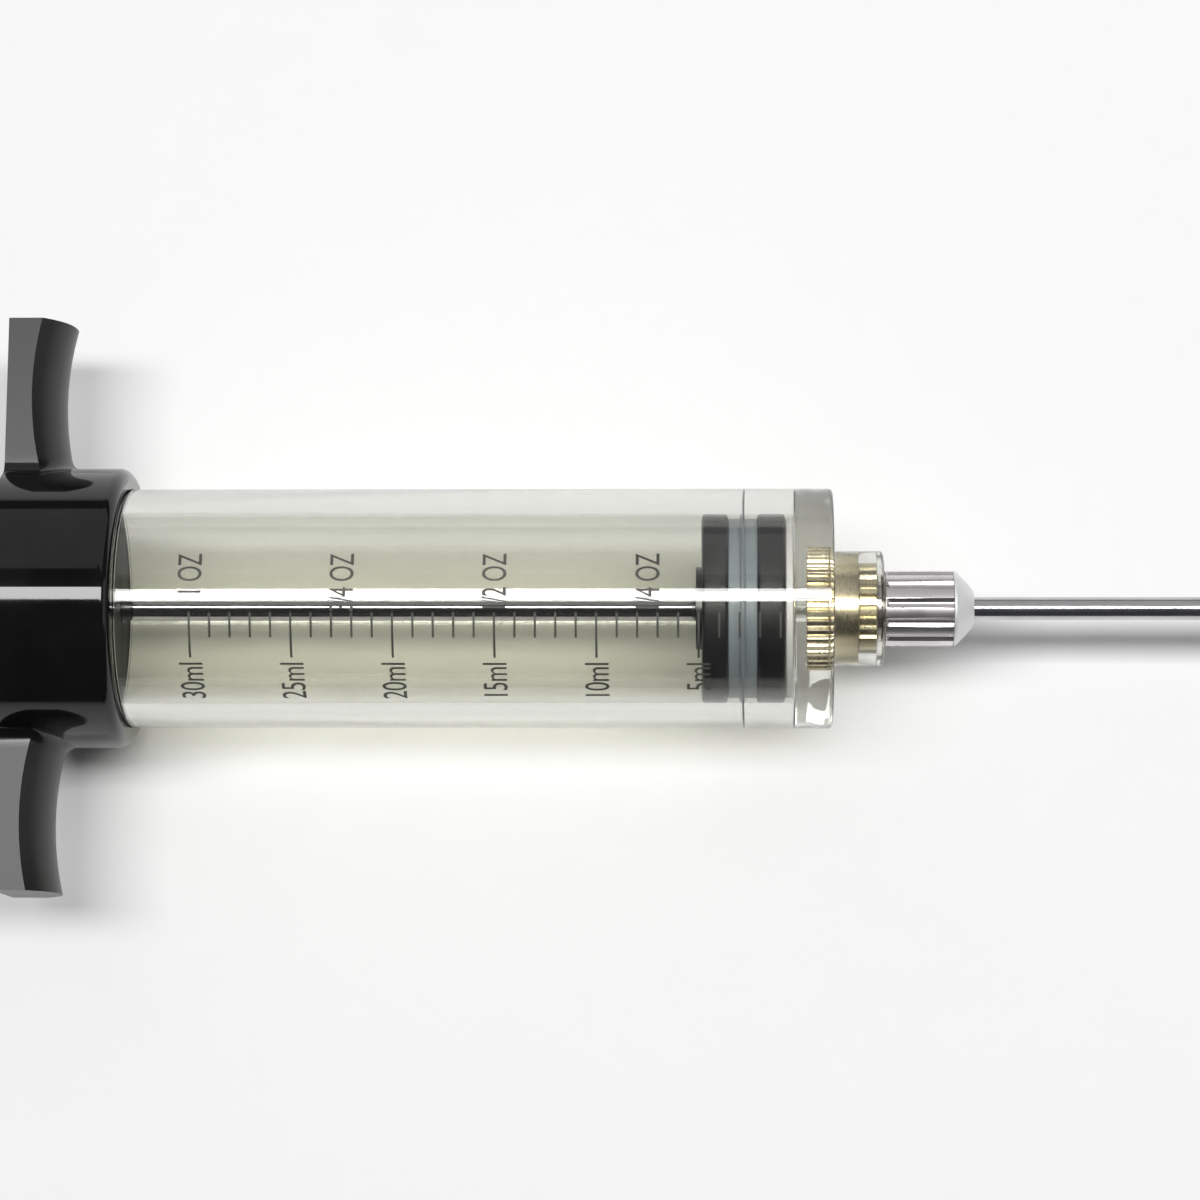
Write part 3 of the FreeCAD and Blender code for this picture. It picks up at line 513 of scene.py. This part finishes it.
def place_piece(made: bpy.types.Object, body: str, slot: str, *nodes: str) -> None:
    """Rides a piece on its body and hides the CAD nodes that it stands for. The slot is not used."""
    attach(made, body)
    if nodes:
        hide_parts(*nodes)
    LOG.info("%s rides on %s", made.name, body)


def dress(node: str, material: bpy.types.Material) -> None:
    """Gives a CAD node that stays its finish."""
    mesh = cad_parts[node].data
    mesh.materials.clear()
    mesh.materials.append(material)
    LOG.info("%s is dressed in %s", node, material.name)


# ---------------------------------------------------------------- sub-assemblies


@dataclass
class Chamber:
    """Clear barrel with its printed scale and the brass luer insert in its nose. Sizes in millimetres."""

    bore_radius: float = 11.5
    wall: float = 3.0
    front_wall: float = 4.7
    boss_radius: float = 6.95
    thread_radius: float = 14.2
    thread_front: float = -84.9
    rear_ring: tuple[float, float, float] = (-3.5, -0.85, 4.8)
    front_ring: tuple[float, float, float] = (3.0, 5.2, 5.5)
    knurl_teeth: tuple[int, int] = (36, 30)
    knurl_depth: float = 0.25
    knurl_steepness: float = 2.2
    knurl_reach: tuple[float, float, float] = (0.1, 0.4, 0.2)
    neck_radius: float = 4.35
    lock_radius: float = 3.95
    lock_floor: float = -0.6
    mouth_radius: float = 4.15
    port_radius: float = 1.1
    hairline: float = 0.05
    embedding: float = 0.25
    port_gap: float = 0.1
    cone_radii: tuple[float, float] = (2.175, 1.98)
    end_inset: float = 0.02
    scale_zero: float = -3.95
    millilitre: float = 2.4
    scale_top: int = 30
    ounce_in_millilitres: float = 30.0
    ink_height: float = 0.02
    ink_gap: float = 0.002
    tick_width: float = 0.26
    tick_start: float = -2.6
    tick_ends: tuple[float, float] = (-5.6, -8.1)
    tick_steps: int = 9
    label_size: float = 4.1
    label_spacing: float = 0.95
    label_squeeze: tuple[float, float] = (0.72, 0.6)
    label_ends: tuple[float, float] = (-8.8, 4.5)

    @property
    def outer_radius(self) -> float:
        """The outside of the barrel."""
        return self.bore_radius + self.wall

    def build(self) -> None:
        """Makes the barrel, the insert and the scale."""
        self.build_barrel()
        self.build_insert()
        self.build_scale()

    def build_barrel(self) -> None:
        """The section is one closed outline: tube, front wall and boss, moulded round the insert.

        Between the insert's ends the outline runs inside the brass, so plastic and brass touch with
        no air between them, apart from the hairline round the front ring.
        """
        rear, front = span("barrel")
        outer = self.outer_radius
        ring_rear, ring_front, ring_radius = self.front_ring
        ring_rear, ring_radius = ring_rear - self.hairline, ring_radius + self.hairline
        within = (self.neck_radius + self.lock_radius) / 2
        embedded = self.rear_ring[0] + self.embedding
        corners = [
            (rear, self.bore_radius, 0.3),
            (rear, self.thread_radius, 0.3),
            (self.thread_front, self.thread_radius, 0.0),
            (self.thread_front, outer, 0.1),
            (0.0, outer, 0.55),
            (0.0, self.boss_radius, 0.35),
            (front, self.boss_radius, 0.5),
            (front, self.mouth_radius, 0.15),
            (ring_front, self.mouth_radius, 0.0),
            (ring_front, ring_radius, 0.05),
            (ring_rear, ring_radius, 0.05),
            (ring_rear, within, 0.0),
            (embedded, within, 0.0),
            (embedded, self.port_radius, 0.0),
            (-self.front_wall, self.port_radius, 0.0),
            (-self.front_wall, self.bore_radius, 0.25),
        ]
        made = turned("barrel_clear", rounded(corners), CLEAR.build(), 160)
        place_piece(made, "barrel", "clear_polycarbonate", "barrel")

    def knurl(self, along: Array, radius: Array, angle: Array) -> Array:
        """Radius less the knurl depth times a tooth wave, on the outside of the two rings only."""
        past_end, below_top, fade = self.knurl_reach
        depth = np.zeros_like(radius)
        for (rear, front, ring), teeth in zip((self.rear_ring, self.front_ring), self.knurl_teeth):
            wave = np.abs(((angle * teeth / FULL_TURN) % 1) * 2 - 1)
            groove = np.clip((wave - 0.5) * self.knurl_steepness, 0, 1)
            inside = (along > (rear - past_end) * MM) & (along < (front + past_end) * MM)
            outside = np.clip((radius - (ring - below_top) * MM) / (fade * MM), 0, 1)
            depth = np.maximum(depth, inside * outside * groove * self.knurl_depth * MM)
        return radius - depth

    def build_insert(self) -> None:
        """Brass insert with two knurled rings, a smooth neck and the luer cone."""
        tip = span("luer_insert")[1]
        port = self.port_radius - self.port_gap
        cone_root, cone_tip = self.cone_radii
        rear_start, rear_end, rear_radius = self.rear_ring
        front_start, front_end, front_radius = self.front_ring
        corners = [
            (rear_start, port, 0.0),
            (rear_start, rear_radius, 0.1),
            (rear_end, rear_radius, 0.1),
            (rear_end, self.neck_radius, 0.05),
            (front_start, self.neck_radius, 0.05),
            (front_start, front_radius, 0.12),
            (front_end - self.end_inset, front_radius, 0.12),
            (front_end - self.end_inset, self.lock_radius, 0.1),
            (self.lock_floor, self.lock_radius, 0.0),
            (self.lock_floor, cone_root, 0.0),
            (tip, cone_tip, 0.1),
            (tip, port, 0.0),
        ]
        made = turned("luer_insert_knurled", rounded(corners, 4), BRASS.build(), 360, self.knurl)
        place_piece(made, "barrel", "brass", "luer_insert")

    def wrap(self, along: Array, arc: Array, lift: Array | float) -> Array:
        """Points on the barrel: x along it, and the angle from the top is the arc length over the radius."""
        radius = self.outer_radius + lift
        angle = arc / self.outer_radius
        return np.stack([along, radius * np.sin(angle), radius * np.cos(angle)], axis=-1) * MM

    def tick(self, along: float, end: float) -> tuple[Array, Array]:
        """One scale mark as a thin curved plate, four edges carried along its arc."""
        arc = np.linspace(self.tick_start, end, self.tick_steps)
        half = self.tick_width / 2
        top, bottom = self.ink_height, self.ink_gap
        edges = ((-half, top), (half, top), (half, bottom), (-half, bottom))
        points = np.stack([self.wrap(along + aside + 0 * arc, arc, lift) for aside, lift in edges], axis=1)
        return points.reshape(-1, 3), grid_faces(self.tick_steps, len(edges), False, True)

    def build_scale(self) -> None:
        """Marks each millilitre, longer at five, with millilitre and ounce labels read from the thumb end."""
        ink = INK.build()
        pieces, faces, count = [], [], 0
        for volume in range(1, self.scale_top + 1):
            end = self.tick_ends[volume % 5 == 0]
            points, quads = self.tick(self.scale_zero - volume * self.millilitre, end)
            pieces.append(points)
            faces.append(quads + count)
            count += len(points)
        ticks = finish_mesh("scale_marks", np.concatenate(pieces), np.concatenate(faces), ink)
        place_piece(ticks, "barrel", "clear_polycarbonate")
        for volume in range(5, self.scale_top + 1, 5):
            along = self.scale_zero - volume * self.millilitre
            self.label(f"{volume}ml", f"scale_ml_{volume}", along, 0, ink)
        for quarters in range(1, 5):
            text = {2: "1/2 OZ", 4: "1 OZ"}.get(quarters, f"{quarters}/4 OZ")
            along = self.scale_zero - quarters * self.ounce_in_millilitres / 4 * self.millilitre
            self.label(text, f"scale_oz_{quarters}", along, 1, ink)

    def label(self, text: str, name: str, along: float, row: int, ink: bpy.types.Material) -> None:
        """A printed label wrapped on the barrel: text x runs up the arc and text y points to the rear.

        Args:
            text: generic scale text.
            name: the piece's name.
            along: its middle along X in millimetres.
            row: 0 for the millilitre labels, 1 for the ounce labels.
            ink: its finish.
        """
        curve = bpy.data.curves.new(name, "FONT")
        curve.body = text
        curve.size = self.label_size
        curve.extrude = self.ink_height / 2
        curve.space_character = self.label_spacing
        source = bpy.data.objects.new(f"{name}_text", curve)
        bpy.context.scene.collection.objects.link(source)
        graph = bpy.context.evaluated_depsgraph_get()
        mesh = bpy.data.meshes.new_from_object(source.evaluated_get(graph))
        bpy.data.objects.remove(source)
        flat = np.empty(len(mesh.vertices) * 3)
        mesh.vertices.foreach_get("co", flat)
        across, up, lift = flat.reshape(-1, 3).T
        middle = (up.max() + up.min()) / 2
        across = (across - across.max()) * self.label_squeeze[row] + self.label_ends[row]
        points = self.wrap(along - (up - middle), across, lift + self.ink_height / 2 + self.ink_gap)
        mesh.vertices.foreach_set("co", points.ravel())
        close_mesh(mesh)
        mesh.materials.clear()
        mesh.materials.append(ink)
        made = bpy.data.objects.new(name, mesh)
        bpy.context.scene.collection.objects.link(made)
        place_piece(made, "barrel", "clear_polycarbonate")


@dataclass
class Needle:
    """Fluted hub with a frosted nose, and the steel tube with its slanted tip. Sizes in millimetres."""

    shoulder: float = 6.2
    flute_end: float = 14.5
    flutes: int = 12
    flute_depth: float = 0.34
    flute_land: float = 0.15
    flute_fullness: float = 0.7
    flute_reach: tuple[float, float, float] = (0.25, 0.05, 0.3)
    hub_radius: float = 4.55
    sleeve_radius: float = 3.3
    tube_radius: float = 1.385
    tube_gap: float = 0.01
    nose_gap: float = 0.002
    lumen_radius: float = 1.08
    bevel_length: float = 8.0
    flange: tuple[float, float] = (1.2, 3.9)
    socket_radii: tuple[float, float, float] = (2.2, 2.0, 1.2)
    socket_stations: tuple[float, float] = (6.0, 8.0)
    tip_radius: float = 2.05
    tube_steps: int = 24

    def flute(self, along: Array, radius: Array, angle: Array) -> Array:
        """Radius less a rounded groove wave, on the outside of the hub from its shoulder to its nose."""
        after_shoulder, past_end, below_top = self.flute_reach
        land = self.flute_land
        wave = np.clip((np.cos(angle * self.flutes) - land) / (1 - land), 0, 1) ** self.flute_fullness
        start, end = self.shoulder + after_shoulder, self.flute_end + past_end
        inside = (along > start * MM) & (along < end * MM)
        outside = radius > (self.hub_radius - below_top) * MM
        return radius - wave * inside * outside * self.flute_depth * MM

    def build(self) -> None:
        """Makes the hub in two finishes, and the tube."""
        rear, front = span("needle_hub")
        flange_width, flange_radius = self.flange
        socket_mouth, socket_end, passage = self.socket_radii
        socket_floor, tube_end = self.socket_stations
        tube_hole = self.tube_radius + self.tube_gap
        body = [
            (rear, socket_mouth, 0.0),
            (rear, flange_radius, 0.15),
            (rear + flange_width, flange_radius, 0.15),
            (rear + flange_width, self.sleeve_radius, 0.1),
            (self.shoulder, self.sleeve_radius, 0.1),
            (self.shoulder, self.hub_radius, 0.2),
            (self.shoulder + 0.5, self.hub_radius, 0.0),
            (self.flute_end - 0.05, self.hub_radius, 0.0),
            (self.flute_end, self.hub_radius - 0.25, 0.0),
            (self.flute_end, tube_hole, 0.0),
            (tube_end, tube_hole, 0.0),
            (tube_end, passage, 0.0),
            (socket_floor, socket_end, 0.0),
        ]
        hub = turned("needle_hub_fluted", rounded(body, 4), ALLOY.build(), 288, self.flute)
        place_piece(hub, "needle", "satin_aluminium", "needle_hub")
        nose_rear = self.flute_end + self.nose_gap
        nose = [
            (nose_rear, tube_hole, 0.0),
            (nose_rear, self.hub_radius - 0.02, 0.12),
            (self.flute_end + 0.35, self.hub_radius - 0.1, 0.3),
            (front - 0.75, 3.0, 0.7),
            (front, self.tip_radius, 0.25),
            (front, tube_hole, 0.0),
        ]
        cone = turned("needle_hub_nose", rounded(nose, 5), FROSTED_ALLOY.build(), 128)
        place_piece(cone, "needle", "satin_aluminium")
        self.build_tube()
        dress("needle_washer", RUBBER.build())

    def build_tube(self) -> None:
        """The tube's end stations slant: x falls with height so that the tip is an oval bevel."""
        rear, tip = span("needle_tube")
        around, steps = 64, self.tube_steps
        angle = np.linspace(0, FULL_TURN, around, endpoint=False)[None, :]
        share = np.concatenate([np.linspace(0, 1, steps), np.linspace(1, 0, steps)])[:, None]
        radius = np.repeat([self.tube_radius, self.lumen_radius], steps)[:, None]
        height = radius * np.sin(angle)
        slant = tip - self.bevel_length * (height + self.tube_radius) / (2 * self.tube_radius)
        along = rear + (slant - rear) * share
        points = np.stack([along, radius * np.cos(angle) + 0 * along, height + 0 * along], axis=-1)
        faces = grid_faces(2 * steps, around, True, True)
        made = finish_mesh("needle_tube_drawn", points.reshape(-1, 3) * MM, faces, STEEL.build())
        place_piece(made, "needle", "stainless_tube", "needle_tube")


@dataclass
class Piston:
    """Two rubber seals with a ridged spacer between them and a plate at each end. Sizes in millimetres."""

    core_radius: float = 4.0
    spigot_hole: float = 1.3
    nut_recess: tuple[float, float] = (3.2, 1.7)
    ridge_width: float = 0.5
    ridge_height: float = 0.6
    lip: float = 0.45
    contact: tuple[float, float, float] = (0.24, 0.1, 0.02)

    def build(self) -> None:
        """Makes the stack on the piston body."""
        rubber, frosted = RUBBER.build(), FROSTED.build()
        for node in ("piston_seal_front", "piston_seal_rear"):
            rear, front = span(node)
            outline = ring_outline(rear, front, self.core_radius, radius_of(node), self.lip)
            made = turned(f"{node}_rubber", outline, rubber, 128)
            place_piece(made, "piston", "black_rubber", node)
        self.build_spacer(frosted)
        rear, front = span("piston_front_plate")
        face = span("piston_seal_front")[1]
        radius = radius_of("piston_front_plate")
        core, hole = self.core_radius, self.spigot_hole
        recess, depth = self.nut_recess
        corners = [(rear, hole, 0.0), (rear, core, 0.0), (face, core, 0.0)]
        corners += [(face, radius, 0.25), (front, radius, 0.25), (front, recess, 0.1)]
        corners += [(front - depth, recess, 0.0), (front - depth, hole, 0.0)]
        plate = turned("piston_front_plate_moulded", rounded(corners), PALE_PLASTIC.build(), 128)
        place_piece(plate, "piston", "frosted_plastic", "piston_front_plate")
        dress("piston_rear_plate", DARK_STEEL.build())

    def build_spacer(self, frosted: bpy.types.Material) -> None:
        """Spacer disc whose guide ridge stands out to the bore."""
        rear, front = span("piston_seal_rear")[1], span("piston_seal_front")[0]
        low, high = span("piston_spacer")
        ridge = radius_of("piston_spacer")
        body = ridge - self.ridge_height
        middle, half = (rear + front) / 2, self.ridge_width / 2
        core, hole = self.core_radius, self.spigot_hole
        corners = [(low, hole, 0.0), (low, core, 0.0), (rear, core, 0.0)]
        corners += [(rear, body, 0.15), (middle - half, body, 0.12), (middle - half, ridge, 0.15)]
        corners += [(middle + half, ridge, 0.15), (middle + half, body, 0.12), (front, body, 0.15)]
        corners += [(front, core, 0.0), (high, core, 0.0), (high, hole, 0.0)]
        made = turned("piston_spacer_moulded", rounded(corners), frosted, 128)
        place_piece(made, "piston", "frosted_plastic", "piston_spacer")
        self.build_contact(middle)

    def build_contact(self, middle: float) -> None:
        """The hairline where the ridge presses on the bore, a thin ring that just bites into the wall. Its
        dark grey, darker than the spacer, is painted shade for the dark line that refraction makes where the
        ridge meets the wall.
        """
        width, depth, bite = self.contact
        wall = Chamber.bore_radius
        outline = ring_outline(middle - width / 2, middle + width / 2, wall - depth, wall + bite, 0.0)
        made = turned("piston_spacer_contact", outline, CONTACT_LINE_SHADE.build(), 128)
        place_piece(made, "piston", "frosted_plastic")


@dataclass
class Plunger:
    """Polished rod with its nuts and the thumb handle. Sizes in millimetres."""

    spigot_radius: float = 1.2

    def build(self) -> None:
        """Makes the rod and dresses the rest."""
        rear, front = span("plunger_rod")
        shoulder = span("piston_rear_plate")[0]
        radius = radius_of("plunger_rod")
        corners = [(rear, 0.0, 0.0), (rear, radius, 0.3), (shoulder, radius, 0.12)]
        corners += [(shoulder, self.spigot_radius, 0.05), (front, self.spigot_radius, 0.2), (front, 0.0, 0.0)]
        made = turned("plunger_rod_polished", rounded(corners), CHROME.build(), 64)
        place_piece(made, "plunger", "chromed_rod", "plunger_rod")
        nickel = NICKEL.build()
        dress("piston_nut", nickel)
        dress("handle_lock_nut", nickel)
        dress("thumb_handle", GLOSS_BLACK.build())
        dress("handle_insert", BRASS.build())


class RearEnd:
    """Plug, seals and bush that close the barrel, and the collar with its finger wings."""

    def build(self) -> None:
        """Dresses the closure and the collar."""
        rubber = RUBBER.build()
        for node in ("plug_o_ring", "barrel_gasket", "rod_seal"):
            dress(node, rubber)
        dress("rear_plug", PLUG_BLACK.build())
        dress("rod_bush", BRASS.build())
        dress("grip_collar", GRIP_BLACK.build())


# ---------------------------------------------------------------- studio


def facing(back: Vector, place: Vector) -> Matrix:
    """The placement of a lamp or camera that looks against back, with the X axis level in its view.

    Args:
        back: unit direction from the target to the lamp or camera.
        place: where it stands.

    Returns:
        The matrix.
    """
    along = Vector((1, 0, 0))
    right = (along - along.dot(back) * back).normalized()
    axes = Matrix((right, back.cross(right), back)).transposed().to_4x4()
    return Matrix.Translation(place) @ axes


@dataclass(frozen=True)
class Lamp:
    """A rectangular area light: its place and its two sides in metres, and its output in watts."""

    name: str
    place: tuple[float, float, float]
    size: tuple[float, float]
    power: float


@dataclass
class Studio:
    """Pale floor, one long strip light overhead, a soft fill, and the camera. Sizes in metres."""

    floor_size: float = 16.0
    floor_rows: int = 9
    view_direction: tuple[float, float, float] = (0.0419, -0.151, 0.988)
    aim: tuple[float, float, float] = (-0.0281, 0.0, 0.0)
    aim_rise: float = 0.00103
    distance: float = 0.435
    lens: float = 107.7
    clip: tuple[float, float] = (0.01, 20.0)
    lamps: tuple[Lamp, ...] = (
        Lamp("strip_light", (0.0, 0.085, 1.05), (1.4, 0.21), 12.7),
        Lamp("fill_light", (0.0, 1.1, 0.85), (2.2, 1.5), 4.5),
        Lamp("end_light", (1.3, 0.0, 0.5), (0.7, 0.7), 1.0),
    )
    sky: tuple[float, float, float] = (0.93, 0.96, 1.0)
    sky_strength: float = 0.05

    def build(self) -> None:
        """Makes floor, lights and camera."""
        low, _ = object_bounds()
        self.build_floor(low[2])
        for lamp in self.lamps:
            self.light(lamp)
        world = bpy.data.worlds.new("studio")
        world.use_nodes = True
        background = world.node_tree.nodes["Background"]
        background.inputs["Color"].default_value = (*self.sky, 1.0)
        background.inputs["Strength"].default_value = self.sky_strength
        bpy.context.scene.world = world
        bpy.context.scene.view_settings.view_transform = "Standard"
        self.build_camera()

    def build_floor(self, height: float) -> None:
        """A flat floor as a grid of points that all stand at the height."""
        half, rows = self.floor_size / 2, self.floor_rows
        steps = np.linspace(-half, half, rows)
        along, across = np.meshgrid(steps, steps)
        points = np.stack([along, across, np.full_like(along, height)], axis=-1).reshape(-1, 3)
        mesh = bpy.data.meshes.new("floor")
        mesh.from_pydata(points.tolist(), [], grid_faces(rows, rows, False, False).tolist())
        mesh.materials.append(FLOOR.build())
        floor = bpy.data.objects.new("floor", mesh)
        bpy.context.scene.collection.objects.link(floor)
        floor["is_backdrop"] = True

    def light(self, lamp: Lamp) -> None:
        """Hangs a lamp so that it faces the object with its long side level."""
        area = bpy.data.lights.new(lamp.name, "AREA")
        area.shape = "RECTANGLE"
        area.size, area.size_y = lamp.size
        area.energy = lamp.power
        made = bpy.data.objects.new(lamp.name, area)
        place = Vector(lamp.place)
        made.matrix_world = facing((place - Vector(self.aim)).normalized(), place)
        bpy.context.scene.collection.objects.link(made)

    def build_camera(self) -> None:
        """Looks down along the view direction with the barrel's axis level in the picture."""
        back = Vector(self.view_direction).normalized()
        camera = bpy.data.cameras.new("camera")
        camera.lens = self.lens
        camera.clip_start, camera.clip_end = self.clip
        made = bpy.data.objects.new("camera", camera)
        made.matrix_world = facing(back, Vector(self.aim) + back * self.distance)
        made.matrix_world.translation += made.matrix_world.col[1].xyz * self.aim_rise
        bpy.context.scene.collection.objects.link(made)
        bpy.context.scene.camera = made


def main() -> None:
    """Builds the studio and each sub-assembly in order."""
    logging.basicConfig(level=logging.INFO, format="%(message)s")
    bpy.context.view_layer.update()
    for part in (Studio(), Chamber(), Needle(), Piston(), Plunger(), RearEnd()):
        part.build()


if __name__ == "__main__":
    main()
